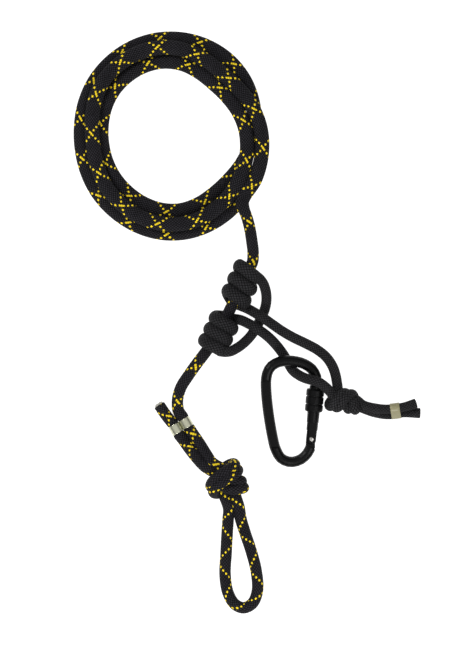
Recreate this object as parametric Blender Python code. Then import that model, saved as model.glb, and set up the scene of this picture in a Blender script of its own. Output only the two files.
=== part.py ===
"""Tree stand safety rope: a coiled climbing rope with a Prusik loop, a locking carabiner and an eye.

Sizes are in millimetres and turned into metres where each mesh is made. X is right and Y is away,
as the rope lies, and Z is up from the floor that it lies on. The origin is on that floor, under
the middle of the whole object.
"""
import math

import bmesh
import bpy
from mathutils import Matrix, Vector

MM = 0.001
GAP = 0.3                # between pieces that meet face to face
FLOOR_CUT = 0.1          # of a cord's diameter, pressed flat where it lies on the floor
SQUARE_END = 1.2         # length that runs straight at the end of each stretch of cord

# Main rope
ROPE = 11.0              # diameter
ROPE_IN_CRIMP = 9.4      # squeezed by a crimp
ROPE_IN_KNOT = 8.3       # drawn down hard in the eye knot
COIL_WIDTH = 13.4        # the soft rope lies oval in the coil
COIL_HEIGHT = 9.4
COIL_LAYER = 9.9         # rise from the lower turns to the one on top
CORE = 7.4               # diameter of the core that shows on the cut end
CORE_PROUD = 0.8

# Coil, seen from above. The last turn is counted back from where it leaves the coil, and each
# turn has its radius at eight marks, 45 degrees apart.
COIL_CENTRE = (-76.5, 186.5)
COIL_EXIT_DEG = -42.0
COIL_MARKS = 8
TOP_TURN = (96.0, 90.5, 81.0, 89.5, 88.0, 78.5, 83.5, 88.5)
INNER_TURN = (82.5, 75.0, 67.5, 74.0, 73.5, 69.5, 71.0, 75.0)
OUTER_TURN = (72.0, 83.0, 94.3, 97.3, 94.5, 90.0, 93.5, 97.5)
COIL_END_RADII = (94.0, 91.0)
COIL_TURNS = 3.06
POINTS_PER_TURN = 24
CLIMB_FROM, CLIMB_TO = 1.12, 1.36    # turns back from the exit

# Prusik loop
CORD = 9.5
CORD_IN_KNOT = 5.5
WRAP_WIDTH = 12.0        # the cord lies oval in the hitch
WRAP_HEIGHT = 9.0
HITCH_CLEARANCE = 0.4    # between the rope and the wraps that slide on it
WRAP_POINTS_PER_TURN = 24
WRAP_RADIUS = ROPE / 2 + HITCH_CLEARANCE + WRAP_HEIGHT / 2
HITCH_AXIS_Z = WRAP_RADIUS + WRAP_HEIGHT / 2 - FLOOR_CUT * WRAP_HEIGHT

# The straight stretch that the hitch slides on, measured down the rope from STRAIGHT_START
STRAIGHT_START = (5.0, 60.5)
STRAIGHT_DIRECTION = (-0.428, -0.9038)
STRAIGHT_LENGTH = 116.0

# Crimps
CRIMP_LENGTH = 9.6
CRIMP_BORE = 10.0
CRIMP_WALL = 0.7
CRIMP_OUTER = CRIMP_BORE + 2 * CRIMP_WALL

# Pale band round the two tails
BAND_LENGTH = 10.5
BAND_WALL = 0.6
BAND_SLANT = 0.25
BAND_CLEARANCE = 0.3

# Carabiner. Heights on the gate are measured from the hinge rivet up the gate's own axis.
BAR = 10.8               # diameter of the body's bar
HINGE_AT = (63.7, -116.4, 6.75)
SLOPE_RIGHT = -0.077     # the carabiner leans on its sleeve, so its top end is the higher one
SLOPE_AWAY = 0.0895
TANG_THICKNESS = 5.0
TANG_RADIUS = 4.7
TANG_CAM = 2.2           # rise of the tang's edge for each radian that the gate turns over it
TANG_FLANK = 5.1         # half width, inside the gate's sides
SPINE_FLAT = 3.9         # height of the flat on the spine above and below the bar's middle
SPINE_FLAT_ENDS = (-7.5, 57.5)
SPINE_FLAT_RUN_OUT = 3.5
GATE_LEAN = 0.0803       # of the gate's axis to the right of the body's own
GATE_RADIUS = 5.5
GATE_RADIUS_IN_SLEEVE = 6.2
GATE_FLAT = 4.6          # height of the two flats round the rivet above and below the middle
GATE_STEP = 16.6         # where the flats end
GATE_FOOT = 5.2
GATE_TOP = 55.6
FORK_SLOT = 5.6          # width, round the tang
FORK_SLOT_TOP = 9.0
GATE_BORE = 5.2
GATE_BORE_TOP = 32.0
RIVET = 4.4
RIVET_HEAD = 0.55        # how far each of its ends stands out of the gate's flats
RUNNING_FIT = 0.05       # radial
NOSE_END = 55.9
TONGUE_END = 51.2
TONGUE_THICKNESS = 3.6
TONGUE_HALF_WIDTH = 4.7
TONGUE_SLOT = 4.4
TONGUE_SLOT_FLOOR = 49.9
LATCH_PIN = 1.6
LATCH_PIN_AT = 53.4
LATCH_NOTCH = 2.3        # width
SLEEVE_FOOT = 27.4
SLEEVE_LENGTH = 23.0
SLEEVE_RADIUS = 9.0
SLEEVE_BORE = 13.0
SLEEVE_BAND = 7.0        # length of each of its three bands; the grooves take up the rest
SLEEVE_GROOVE = 0.9      # depth
SLEEVE_ROUNDING = 1.7
SLEEVE_TRAVEL = 4.0
THREAD_RADIUS = 5.3      # of the waist in the gate that the sleeve's ring rides in
THREAD_FOOT = 33.0
RING_CLEARANCE = 0.3
RING_LENGTH = 3.0
RING_RADII = (THREAD_RADIUS + RING_CLEARANCE, SLEEVE_BORE / 2 - 0.1)
THREAD_TOP = THREAD_FOOT + RING_LENGTH + SLEEVE_TRAVEL + 3 * RING_CLEARANCE
PLUNGER = 4.6            # diameter
PLUNGER_FOOT = 5.5
PLUNGER_LENGTH = 9.0
SPRING_WIRE = 0.7
SPRING_RADIUS = 1.95
SPRING_CURLS = 8
SPRING_POINTS_PER_CURL = 10

STRANDS = {}             # each cord's smooth route, for the gaps printed at the end


def clear_scene():
    for thing in list(bpy.data.objects):
        bpy.data.objects.remove(thing, do_unlink=True)


def material(name, colour, roughness, metallic=0.0):
    made = bpy.data.materials.new(name)
    made.use_nodes = True
    shader = made.node_tree.nodes["Principled BSDF"]
    shader.inputs["Base Color"].default_value = (*colour, 1.0)
    shader.inputs["Roughness"].default_value = roughness
    shader.inputs["Metallic"].default_value = metallic
    return made


def between(low, high, share):
    return low + (high - low) * share


def eased(value, start, end):
    """0 before start, 1 after end, and a smooth S between."""
    share = min(max((value - start) / (end - start), 0.0), 1.0)
    return share * share * (3 - 2 * share)


def smooth_route(points, step):
    """A smooth curve through the points, which are (place, diameter), with a point every step."""
    places = [Vector(p) for p, _ in points]
    widths = [w for _, w in points]
    places = [2 * places[0] - places[1], *places, 2 * places[-1] - places[-2]]
    fine = []
    for i in range(1, len(places) - 2):
        a, b, c, d = places[i - 1:i + 3]
        t1 = (b - a).length ** 0.5
        t2 = t1 + (c - b).length ** 0.5
        t3 = t2 + (d - c).length ** 0.5
        pieces = max(2, round((c - b).length / 0.5))
        for k in range(pieces):
            share = k / pieces
            t = between(t1, t2, share)
            a1 = a.lerp(b, t / t1)
            a2 = b.lerp(c, (t - t1) / (t2 - t1))
            a3 = c.lerp(d, (t - t2) / (t3 - t2))
            b1 = a1.lerp(a2, t / t2)
            b2 = a2.lerp(a3, (t - t1) / (t3 - t1))
            fine.append((b1.lerp(b2, (t - t1) / (t2 - t1)), between(widths[i - 1], widths[i], share)))
    fine.append((places[-2], widths[-1]))
    return even_route(fine, step)


def even_route(fine, step):
    """The same route with its points an even step apart, ends kept."""
    along = [0.0]
    for (p, _), (q, _) in zip(fine, fine[1:]):
        along.append(along[-1] + (q - p).length)
    count = max(2, round(along[-1] / step))
    route = []
    j = 0
    for k in range(count + 1):
        target = along[-1] * k / count
        while j < len(fine) - 2 and along[j + 1] < target:
            j += 1
        share = (target - along[j]) / (along[j + 1] - along[j])
        (p, wp), (q, wq) = fine[j], fine[j + 1]
        route.append((p.lerp(q, share), between(wp, wq, share)))
    return route


def nearest(fine, place):
    """Which point of the route is nearest to a place."""
    place = Vector(place)
    return min(range(len(fine)), key=lambda i: (fine[i][0] - place).length)


def heading(fine, index):
    """The direction of the cord at one of its points."""
    return (fine[min(index + 1, len(fine) - 1)][0] - fine[max(index - 1, 0)][0]).normalized()


def stretch(fine, first, last, step):
    """An evenly stepped stretch of a cord between two places, or to its own end where one is None.

    Its end faces stand square to the cord there, so that neighbours meet face to face.
    """
    start = 0 if first is None else nearest(fine, first)
    end = len(fine) - 1 if last is None else nearest(fine, last)
    near = 0.0 if first is None else GAP / 2
    far = 0.0 if last is None else GAP / 2
    inner = shortened(fine[start:end + 1], near + 2 * SQUARE_END)
    inner = shortened(inner[::-1], far + 2 * SQUARE_END)[::-1]
    return [
        *square_end(fine, start, near), *even_route(inner, step), *square_end(fine, end, -far)[::-1],
    ]


def square_end(fine, index, away):
    """The end face of a stretch and the next point in, both straight along the cord."""
    inward = heading(fine, index)
    if index == len(fine) - 1 or away < 0:
        inward = -inward
    place, width = fine[index]
    face = place + abs(away) * inward
    return [(face, width), (face + SQUARE_END * inward, width)]


def shortened(route, length):
    """The route without its first few tenths of a millimetre."""
    while (route[1][0] - route[0][0]).length <= length:
        length -= (route[1][0] - route[0][0]).length
        route = route[1:]
    (p, wp), (q, wq) = route[0], route[1]
    share = length / (q - p).length
    return [(p.lerp(q, share), between(wp, wq, share)), *route[1:]]


def add(name, mesh, finish, parent=None, smooth=True):
    thing = bpy.data.objects.new(name, mesh)
    bpy.context.scene.collection.objects.link(thing)
    thing.parent = parent
    mesh.materials.clear()
    mesh.materials.append(finish)
    if smooth:
        mesh.shade_smooth()
        mesh.set_sharp_from_angle(angle=math.radians(35))
    return thing


def tube_mesh(route, sides=8, on_floor=True):
    """A round cord along a route."""
    curve = bpy.data.curves.new("route", "CURVE")
    curve.dimensions = "3D"
    curve.bevel_depth = MM
    curve.bevel_resolution = (sides - 4) // 2
    curve.use_fill_caps = True
    spline = curve.splines.new("POLY")
    spline.points.add(len(route) - 1)
    for point, (place, diameter) in zip(spline.points, route):
        point.co = (*(place * MM), 1.0)
        point.radius = diameter / 2
    guide = bpy.data.objects.new("guide", curve)
    bpy.context.scene.collection.objects.link(guide)
    graph = bpy.context.evaluated_depsgraph_get()
    mesh = bpy.data.meshes.new_from_object(guide.evaluated_get(graph))
    bpy.data.objects.remove(guide, do_unlink=True)
    bpy.data.curves.remove(curve)
    if on_floor:
        press_on_floor(mesh)
    return mesh


def press_on_floor(mesh):
    """Flattens the underside of a cord where it lies on the floor."""
    for vertex in mesh.vertices:
        vertex.co.z = max(vertex.co.z, 0.0)


def tube(name, route, finish, sides=8):
    return add(name, tube_mesh(route, sides), finish)


def oval_tube(name, route, width, finish, wide_axis=None, sides=8):
    """A cord whose section lies oval: wide along one axis or, with no axis given, level."""
    shape = bmesh.new()
    rings = []
    for index, (place, height) in enumerate(route):
        along = heading(route, index)
        if index < 2:
            along = (route[1][0] - route[0][0]).normalized()
        if index >= len(route) - 2:
            along = (route[-1][0] - route[-2][0]).normalized()
        if wide_axis is None:
            side = along.cross(Vector((0.0, 0.0, 1.0))).normalized()
        else:
            side = (wide_axis - wide_axis.dot(along) * along).normalized()
        up = side.cross(along)
        ring = []
        for k in range(sides):
            angle = 2 * math.pi * (k + 0.5) / sides
            corner = place + math.cos(angle) * width / 2 * side + math.sin(angle) * height / 2 * up
            ring.append(shape.verts.new(corner * MM))
        rings.append(ring)
    for here, there in zip(rings, rings[1:]):
        for k in range(sides):
            m = (k + 1) % sides
            shape.faces.new((here[k], here[m], there[m], there[k]))
    shape.faces.new(rings[0])
    shape.faces.new(rings[-1][::-1])
    mesh = finished(shape)
    press_on_floor(mesh)
    return add(name, mesh, finish)


def coil_route():
    """The coil from its hidden end to its exit: an outer turn, an inner one, and one on top of both."""
    radii = [*TOP_TURN, *INNER_TURN, *OUTER_TURN, *COIL_END_RADII]
    count = round(COIL_TURNS * POINTS_PER_TURN)
    route = []
    for k in range(count, -1, -1):
        back = COIL_TURNS * k / count
        mark = back * COIL_MARKS
        i = min(int(mark), len(radii) - 2)
        radius = between(radii[i], radii[i + 1], mark - i)
        wave = [radii[max(i - 1, 0)], radii[i], radii[i + 1], radii[min(i + 2, len(radii) - 1)]]
        radius = hermite(wave, mark - i)
        angle = math.radians(COIL_EXIT_DEG + 360.0 * back)
        low = COIL_HEIGHT / 2 - FLOOR_CUT * COIL_HEIGHT
        height = low + COIL_LAYER * (1 - eased(back, CLIMB_FROM, CLIMB_TO))
        place = Vector((
            COIL_CENTRE[0] + radius * math.cos(angle),
            COIL_CENTRE[1] + radius * math.sin(angle),
            height,
        ))
        route.append((place, COIL_HEIGHT))
    return route


def hermite(values, share):
    """A smooth value between the two middle ones of four."""
    a, b, c, d = values
    in_slope, out_slope = (c - a) / 2, (d - b) / 2
    s2, s3 = share * share, share ** 3
    return (
        (2 * s3 - 3 * s2 + 1) * b + (s3 - 2 * s2 + share) * in_slope
        + (3 * s2 - 2 * s3) * c + (s3 - s2) * out_slope
    )


def on_straight(down):
    """A place on the axis of the straight stretch, so far down the rope."""
    return Vector((
        STRAIGHT_START[0] + STRAIGHT_DIRECTION[0] * down,
        STRAIGHT_START[1] + STRAIGHT_DIRECTION[1] * down,
        HITCH_AXIS_Z,
    ))


def round_the_rope(down, degrees, radius=WRAP_RADIUS):
    """A place beside the straight stretch: 0 degrees is to the right of it and 90 is above it."""
    right = Vector((-STRAIGHT_DIRECTION[1], STRAIGHT_DIRECTION[0], 0.0))
    angle = math.radians(degrees)
    return on_straight(down) + radius * (math.cos(angle) * right + math.sin(angle) * Vector((0, 0, 1)))


def wraps(down_start, down_end, start_deg, end_deg):
    """A helix round the straight stretch, as (place, diameter)."""
    count = round(abs(end_deg - start_deg) / 360.0 * WRAP_POINTS_PER_TURN)
    return [
        (round_the_rope(between(down_start, down_end, k / count), between(start_deg, end_deg, k / count)),
         WRAP_HEIGHT)
        for k in range(count + 1)
    ]


class Knot:
    """A two-strand overhand knot. Its strands are listed in its own frame: along, across and up."""

    def __init__(self, centre, along, scale):
        self.centre = Vector(centre)
        self.along = Vector((*along, 0.0)).normalized()
        self.across = Vector((0.0, 0.0, 1.0)).cross(self.along)
        self.scale = scale

    def place(self, point):
        along, across, up = (self.scale * value for value in point)
        return self.centre + along * self.along + across * self.across + Vector((0.0, 0.0, up))

    def strand(self, points, diameter):
        return [(self.place(point), diameter) for point in points]


# The knot wraps once round its own four strands. The first strand goes in, turns at the far
# right, goes under, up the left, over the front and back in beside itself; the second lies
# next to it all the way.
FIRST_STRAND = (
    (-10.0, 4.9, 5.0), (1.0, 5.4, 5.4), (8.0, 9.5, 6.0), (12.0, 15.3, 2.0), (12.0, 14.0, -8.5),
    (10.5, 7.5, -14.6), (8.5, -1.0, -16.4), (6.0, -9.5, -13.4), (3.0, -15.3, -6.0),
    (0.0, -16.2, 3.0), (-4.0, -12.8, 11.4), (-8.0, -4.5, 15.9), (-10.0, 4.5, 15.9),
    (-12.0, 12.4, 11.2), (-14.5, 16.2, 2.0), (-17.0, 14.5, -6.0), (-17.0, 8.0, -10.0),
    (-13.5, 1.0, -8.5), (-8.0, -3.8, -6.3), (0.0, -4.9, -4.9), (10.0, -5.0, -4.6),
    (18.0, -7.0, -4.0),
)
SECOND_STRAND = (
    (-10.0, -4.9, 5.0), (3.0, -4.9, 5.0), (12.0, -2.5, 5.6), (19.0, 4.5, 6.5), (22.4, 13.0, 3.5),
    (22.6, 15.0, -5.0), (21.2, 9.5, -13.0), (19.0, 0.5, -16.4), (16.5, -8.0, -14.3),
    (13.5, -14.8, -7.0), (10.4, -16.2, 2.0), (6.3, -12.8, 10.8), (2.2, -4.8, 15.8),
    (0.2, 4.2, 16.0), (-2.0, 12.8, 11.6), (-4.4, 16.4, 3.0), (-6.0, 16.2, -5.0),
    (-4.5, 11.5, -10.2), (1.5, 6.5, -7.5), (9.0, 4.9, -5.0), (18.0, 4.2, -4.6),
)

EYE_KNOT = Knot((-20.5, -156.5, 20.8), (0.62, -0.785), 1.0)
LOOP_KNOT = Knot((97.6, -79.2, 13.9), (0.949, -0.316), 0.66)

CRIMP_AXIS = Vector((0.62, -0.785, 0.0)).normalized()
RUN_CRIMP = Vector((-61.3, -100.3, CRIMP_OUTER / 2))
TAIL_CRIMP = Vector((-71.7, -106.5, CRIMP_OUTER / 2))


def through_crimp(centre):
    """The rope's places in a crimp, squeezed inside it and at full size just outside."""
    squeezed = CRIMP_LENGTH / 2 + 0.6
    return [
        (centre - squeezed * CRIMP_AXIS, ROPE_IN_CRIMP),
        (centre, ROPE_IN_CRIMP),
        (centre + squeezed * CRIMP_AXIS, ROPE_IN_CRIMP),
        (centre + (squeezed + 3) * CRIMP_AXIS, ROPE),
    ]


def placed(points, diameter):
    return [(Vector(point), diameter) for point in points]


def main_rope_route():
    """The rope's centre line after the coil, and the places where one node of it ends."""
    lead = placed([
        (-3.6, 113.5, 14.2), (-0.6, 105.0, 14.0), (2.2, 94.5, 13.8), (4.4, 81.0, 13.8), (5.6, 70.5, 14.0),
    ], ROPE)
    straight = [(on_straight(down), ROPE) for down in (0, 6, 60, 110, STRAIGHT_LENGTH)]
    run = placed([
        (-51.6, -54.8, 13.0), (-60.0, -64.5, 10.4), (-66.4, -73.5, 7.8), (-69.0, -82.5, 6.2),
        (-68.4, -90.5, 5.7),
    ], ROPE)
    into_knot = [
        (EYE_KNOT.place((-58.0, 1.4, -12.6)), ROPE), (EYE_KNOT.place((-46.0, 0.4, -8.6)), ROPE),
        (EYE_KNOT.place((-34.0, 0.8, -3.0)), ROPE), (EYE_KNOT.place((-22.0, 3.3, 3.0)), 9.6),
    ]
    knot_run = EYE_KNOT.strand(FIRST_STRAND, ROPE_IN_KNOT)
    eye = [
        (EYE_KNOT.place((26.0, -15.6, -6.2)), 9.4),
        *placed([
            (-18.8, -197.0, 10.4), (-20.2, -212.0, 6.6), (-21.4, -231.0, 5.0), (-22.4, -252.0, 4.5),
            (-19.6, -270.0, 4.5), (-13.0, -281.4, 4.5), (-4.0, -285.3, 4.5), (5.0, -280.8, 4.5),
            (10.0, -268.0, 4.5), (8.6, -248.0, 4.5), (4.2, -229.0, 4.8), (-1.0, -211.0, 6.4),
        ], ROPE),
        (EYE_KNOT.place((34.0, -7.6, -9.5)), ROPE), (EYE_KNOT.place((26.0, 0.6, -6.2)), 9.4),
    ]
    knot_tail = EYE_KNOT.strand(SECOND_STRAND, ROPE_IN_KNOT)[::-1]
    out_of_knot = [
        (EYE_KNOT.place((-22.0, -7.3, 3.0)), 9.6), (EYE_KNOT.place((-34.0, -10.8, -3.0)), ROPE),
        (EYE_KNOT.place((-46.0, -10.9, -8.6)), ROPE), (EYE_KNOT.place((-58.0, -10.2, -12.8)), ROPE),
    ]
    tail = placed([(-80.9, -93.5, 5.2), (-88.2, -82.8, 5.0)], ROPE)
    points = [
        *lead, *straight, *run, *through_crimp(RUN_CRIMP), *into_knot, *knot_run, *eye, *knot_tail,
        *out_of_knot, *through_crimp(TAIL_CRIMP)[::-1], *tail,
    ]
    stations = {
        "knot_in": into_knot[-1][0], "eye_start": knot_run[-1][0], "eye_end": knot_tail[0][0],
        "knot_out": out_of_knot[0][0],
    }
    return points, stations


def build_main_rope(black, cream, silver):
    coil = coil_route()
    points, at = main_rope_route()
    fine = smooth_route([*((place, ROPE) for place, _ in coil[-3:]), *points], 0.4)
    exit_at = coil[-1][0]
    STRANDS["coil"] = coil
    STRANDS["rope"] = fine[nearest(fine, exit_at):]
    last = square_end(fine, nearest(fine, exit_at), -GAP / 2)[::-1]
    coil = [*coil[:-1], *((place, COIL_HEIGHT) for place, _ in last)]
    oval_tube("rope_coil", coil, COIL_WIDTH, black)
    tube("rope_run", stretch(fine, exit_at, at["knot_in"], 9.0), black)
    tube("eye_knot_run_strand", stretch(fine, at["knot_in"], at["eye_start"], 4.0), black)
    tube("rope_eye", stretch(fine, at["eye_start"], at["eye_end"], 6.0), black)
    tube("eye_knot_tail_strand", stretch(fine, at["eye_end"], at["knot_out"], 4.0), black)
    tail = stretch(fine, at["knot_out"], None, 5.0)
    tube("rope_tail", tail, black)
    end, before = tail[-1][0], tail[-2][0]
    outward = (end - before).normalized()
    core = rod_mesh(end + (GAP + CORE_PROUD / 2) * outward, outward, CORE, CORE_PROUD)
    add("rope_core_end", core, cream)
    crimp("crimp_run", RUN_CRIMP, silver)
    crimp("crimp_tail", TAIL_CRIMP, silver)


def rod_mesh(centre, axis, diameter, length, sides=20):
    """A short round bar with its middle at centre."""
    shape = bmesh.new()
    turn = Vector(axis).to_track_quat("Z", "Y").to_matrix().to_4x4()
    place = Matrix.Translation(Vector(centre) * MM) @ turn
    bmesh.ops.create_cone(
        shape, cap_ends=True, segments=sides, radius1=diameter / 2 * MM, radius2=diameter / 2 * MM,
        depth=length * MM, matrix=place,
    )
    return finished(shape)


def box_mesh(low, high):
    shape = bmesh.new()
    size = [(b - a) * MM for a, b in zip(low, high)]
    middle = Vector([(a + b) / 2 * MM for a, b in zip(low, high)])
    bmesh.ops.create_cube(shape, size=1.0, matrix=Matrix.Translation(middle) @ Matrix.Diagonal((*size, 1.0)))
    return finished(shape)


def plate_mesh(outline, low, high):
    """A flat plate with its outline in X and Y, from one height to another."""
    shape = bmesh.new()
    lower = [shape.verts.new((x * MM, y * MM, low * MM)) for x, y in outline]
    upper = [shape.verts.new((x * MM, y * MM, high * MM)) for x, y in outline]
    shape.faces.new(lower[::-1])
    shape.faces.new(upper)
    for i in range(len(outline)):
        j = (i + 1) % len(outline)
        shape.faces.new((lower[i], lower[j], upper[j], upper[i]))
    return finished(shape)


def turned_mesh(profile, sides=32):
    """A ring turned about its own Z axis from a closed profile of (radius, height)."""
    shape = bmesh.new()
    rings = []
    for k in range(sides):
        angle = 2 * math.pi * k / sides
        rings.append([
            shape.verts.new((r * MM * math.cos(angle), r * MM * math.sin(angle), h * MM))
            for r, h in profile
        ])
    for k in range(sides):
        here, there = rings[k], rings[(k + 1) % sides]
        for i in range(len(profile)):
            j = (i + 1) % len(profile)
            shape.faces.new((here[i], there[i], there[j], here[j]))
    return finished(shape)


def turned_bar_mesh(profile, sides=32):
    """A solid bar turned about its own Z axis, from (radius, height) up its side."""
    shape = bmesh.new()
    rings = []
    for radius, height in profile:
        rings.append([
            shape.verts.new((
                radius * MM * math.cos(2 * math.pi * k / sides),
                radius * MM * math.sin(2 * math.pi * k / sides),
                height * MM,
            ))
            for k in range(sides)
        ])
    shape.faces.new(rings[0][::-1])
    shape.faces.new(rings[-1])
    for lower, upper in zip(rings, rings[1:]):
        for k in range(sides):
            m = (k + 1) % sides
            shape.faces.new((lower[k], lower[m], upper[m], upper[k]))
    return finished(shape)


def finished(shape):
    bmesh.ops.recalc_face_normals(shape, faces=shape.faces)
    mesh = bpy.data.meshes.new("shape")
    shape.to_mesh(mesh)
    shape.free()
    return mesh


def combined(base, changes):
    """The base mesh with other meshes joined to it or cut from it."""
    host = bpy.data.objects.new("host", base)
    bpy.context.scene.collection.objects.link(host)
    helpers = []
    for operation, mesh in changes:
        helper = bpy.data.objects.new("helper", mesh)
        bpy.context.scene.collection.objects.link(helper)
        helpers.append(helper)
        change = host.modifiers.new("change", "BOOLEAN")
        change.operation = operation
        change.solver = "EXACT"
        change.object = helper
    graph = bpy.context.evaluated_depsgraph_get()
    mesh = bpy.data.meshes.new_from_object(host.evaluated_get(graph))
    for helper in (*helpers, host):
        bpy.data.objects.remove(helper, do_unlink=True)
    return mesh


def add_at(name, mesh, frame, finish):
    mesh.transform(frame)
    return add(name, mesh, finish)


def crimp(name, centre, finish):
    """A thin ferrule with rolled edges, pressed on the rope."""
    half, bore, outer = CRIMP_LENGTH / 2, CRIMP_BORE / 2, CRIMP_OUTER / 2
    edge = CRIMP_WALL * 0.45
    profile = [
        (bore, -half), (outer - edge, -half), (outer, -half + edge), (outer, -half + 2.0),
        (outer - 0.2, -half + 2.7), (outer - 0.2, half - 2.7), (outer, half - 2.0),
        (outer, half - edge), (outer - edge, half), (bore, half),
    ]
    turn = CRIMP_AXIS.to_track_quat("Z", "Y").to_matrix().to_4x4()
    add_at(name, turned_mesh(profile, sides=28), Matrix.Translation(centre * MM) @ turn, finish)


# Prusik loop, from the upper wraps' leg round the hitch and back, above the floor
UPPER_DOWN = (44.2, 8.6)      # along the straight stretch, where the upper wraps start and end
UPPER_DEGREES = (270.0, -680.0)
LOWER_DOWN = (94.5, 61.6)
LOWER_DEGREES = (30.0, 990.0)
UPPER_LEG = (
    (-8.0, 17.2, 4.9), (-1.6, 14.6, 6.8), (6.6, 10.2, 12.0), (15.4, 4.8, 15.4), (24.6, -1.6, 14.2),
    (34.4, -8.4, 10.4), (45.4, -14.8, 6.8), (57.4, -20.6, 5.0), (69.4, -27.0, 4.7), (78.6, -34.4, 5.2),
    (84.4, -42.6, 6.8), (86.4, -51.0, 9.8), (85.2, -58.8, 12.2),
)
LOWER_LEG = (
    (-14.6, 3.8, 4.6), (-7.4, 2.6, 6.8), (0.4, -0.8, 11.4), (8.4, -5.4, 15.3), (16.6, -11.0, 14.2),
    (23.8, -17.2, 10.2), (30.6, -24.8, 5.6), (36.6, -33.2, 4.6), (41.0, -41.0, 4.9), (45.4, -48.0, 8.6),
    (51.0, -52.4, 14.2), (57.4, -55.6, 19.8), (64.4, -57.6, 23.4), (71.2, -59.4, 24.2), (76.4, -63.2, 23.3),
)
UPPER_TO_KNOT = ((83.3, -65.2, 14.2),)
LOWER_TO_KNOT = ((77.9, -70.2, 21.6), (79.6, -76.8, 19.4))
BRIDGE = (
    (14.2, 41.4, 17.2), (18.0, 32.6, 12.4), (19.0, 23.4, 7.6), (17.6, 14.4, 4.9), (14.0, 5.4, 4.7),
    (9.4, -3.6, 4.7), (4.6, -11.6, 5.8), (-2.0, -19.0, 8.8), (-10.0, -25.2, 13.0), (-18.8, -29.2, 17.4),
)
BAND_LEAN = 0.122        # of the two tails in the band, away for each step to the right
TAIL_IN_BAND = (140.4, -90.6, 5.7)
TAIL_IN_BAND_LENGTH = 16.0
TAIL_SPACING = (6.9, 7.2)    # from the lower tail to the upper one: away and up
FIRST_TAIL_END = (172.4, -90.6, 4.7)
SECOND_TAIL_END = (168.4, -81.0, 11.2)


def tail_offset():
    """From the lower tail to the upper one where the band holds both."""
    across = Vector((-BAND_LEAN, 1.0, 0.0)).normalized()
    return TAIL_SPACING[0] * across + Vector((0.0, 0.0, TAIL_SPACING[1]))


def loop_route():
    """The Prusik cord from its first tail round to its second, and the nodes' end places."""
    into_knot = [(LOOP_KNOT.place((-19.0, 6.6, 4.6)), 7.2), *placed(UPPER_TO_KNOT, 8.6)]
    first = LOOP_KNOT.strand(FIRST_STRAND, CORD_IN_KNOT)
    second = LOOP_KNOT.strand(SECOND_STRAND, CORD_IN_KNOT)
    along = Vector((1.0, BAND_LEAN, 0.0)).normalized() * TAIL_IN_BAND_LENGTH
    aside = tail_offset()
    low = Vector(TAIL_IN_BAND)
    first_tail = [
        (LOOP_KNOT.place((28.0, -7.8, -4.6)), 7.0),
        *placed([(127.0, -92.8, 6.6), low, low + along, FIRST_TAIL_END], CORD),
    ]
    second_tail = [
        (LOOP_KNOT.place((28.0, 4.8, -3.0)), 7.0),
        *placed([(127.6, -85.0, 13.0), low + aside, low + along + aside, SECOND_TAIL_END], CORD),
    ]
    upper = wraps(*UPPER_DOWN, *UPPER_DEGREES)
    lower = wraps(*LOWER_DOWN, *LOWER_DEGREES)
    out_of_knot = [*placed(LOWER_TO_KNOT, 8.6), (LOOP_KNOT.place((-18.0, -6.4, 5.0)), 7.2)]
    points = [
        *first_tail[::-1], *first[::-1], *into_knot, *placed(UPPER_LEG[::-1], CORD), *upper,
        *placed(BRIDGE, CORD), *lower, *placed(LOWER_LEG, CORD), *out_of_knot, *second, *second_tail,
    ]
    at = {
        "first_tail": first[-1][0], "first_in": into_knot[0][0], "upper_start": upper[0][0],
        "upper_end": upper[-1][0], "lower_start": lower[0][0], "lower_end": lower[-1][0],
        "second_in": out_of_knot[-1][0], "second_tail": second[-1][0],
    }
    return points, at


def build_prusik_loop(black, pale):
    points, at = loop_route()
    fine = smooth_route(points, 0.4)
    STRANDS["loop"] = fine
    axis = Vector((*STRAIGHT_DIRECTION, 0.0))
    tube("loop_tail_lower", stretch(fine, None, at["first_tail"], 8.0), black)
    tube("loop_knot_strand_upper", stretch(fine, at["first_tail"], at["first_in"], 3.2), black, sides=6)
    tube("loop_leg_upper", stretch(fine, at["first_in"], at["upper_start"], 8.0), black)
    upper = stretch(fine, at["upper_start"], at["upper_end"], 2.8)
    oval_tube("hitch_wraps_upper", upper, WRAP_WIDTH, black, axis)
    tube("hitch_bridge", stretch(fine, at["upper_end"], at["lower_start"], 8.0), black)
    lower = stretch(fine, at["lower_start"], at["lower_end"], 2.8)
    oval_tube("hitch_wraps_lower", lower, WRAP_WIDTH, black, axis)
    tube("loop_leg_lower", stretch(fine, at["lower_end"], at["second_in"], 8.0), black)
    tube("loop_knot_strand_lower", stretch(fine, at["second_in"], at["second_tail"], 3.2), black, sides=6)
    tube("loop_tail_upper", stretch(fine, at["second_tail"], None, 8.0), black)
    build_band(pale)


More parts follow.
